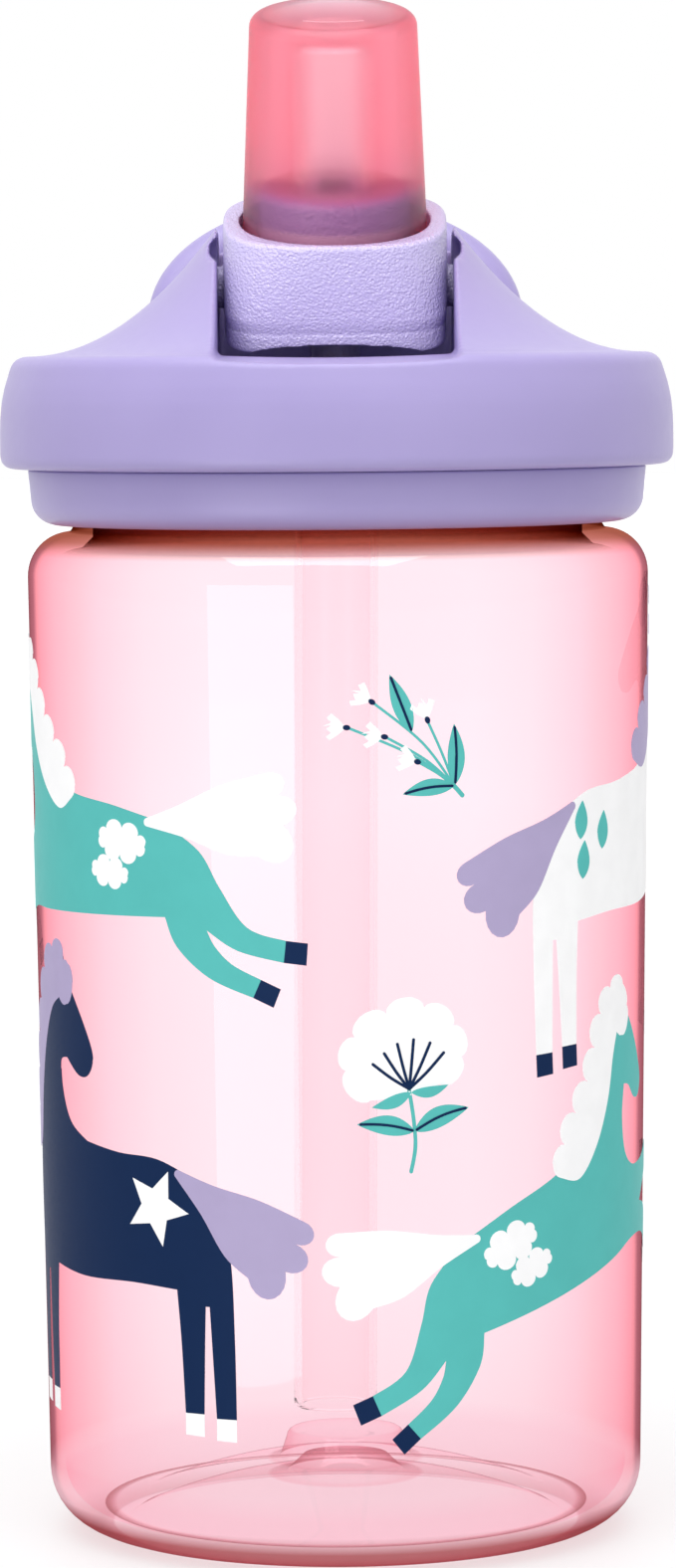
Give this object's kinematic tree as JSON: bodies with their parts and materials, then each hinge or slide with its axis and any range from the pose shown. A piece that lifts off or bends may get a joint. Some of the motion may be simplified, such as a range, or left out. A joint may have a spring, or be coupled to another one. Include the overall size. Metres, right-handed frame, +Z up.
{
  "type": "water bottle",
  "caption": "Clear straight-sided drinking bottle with a threaded lid, rear carry loop, inner straw and a flip-up spout with a soft bite valve.",
  "frame": {"origin": "centre of the base, on the surface the bottle stands on", "axes": "+Z up along the bottle's axis, -Y is the front towards which the spout folds, +X to the right seen from the front, along the spout's hinge line"},
  "size_m": [0.079, 0.079, 0.1798],
  "materials": {
    "clear_body": "clear tinted moulded plastic, polished",
    "lid_plastic": "opaque moulded plastic, satin",
    "spout_plastic": "opaque moulded plastic with a fine leather grain",
    "valve_silicone": "translucent silicone, soft sheen",
    "seal_silicone": "translucent silicone",
    "clear_straw": "clear extruded tube"
  },
  "bodies": {
    "bottle": {"bottle_body": "clear_body"},
    "lid_rise": {"lid_gasket": "seal_silicone"},
    "lid": {"lid_collar": "lid_plastic", "lid_shell": "lid_plastic", "spout_seal": "seal_silicone", "straw": "clear_straw", "vent_valve": "seal_silicone"},
    "spout": {"spout_arm": "spout_plastic", "bite_valve": "valve_silicone"}
  },
  "joints": [
    {"name": "lid_lift", "type": "slide", "parent": "bottle", "child": "lid_rise", "axis": [0, 0, 1], "range_m": [0, 0.00601]},
    {"name": "lid_turn", "type": "hinge", "parent": "lid_rise", "child": "lid", "pos_m": [0, 0, 0.126], "axis": [0, 0, 1], "range_deg": [0, 540]},
    {"name": "valve_flip", "type": "hinge", "parent": "lid", "child": "spout", "pos_m": [0, -0.003, 0.1463], "axis": [1, 0, 0], "range_deg": [0, 62]}
  ],
  "couplings": [
    {"joint": "lid_lift", "follows": "lid_turn", "m_per_rad": 0.00063662}
  ]
}
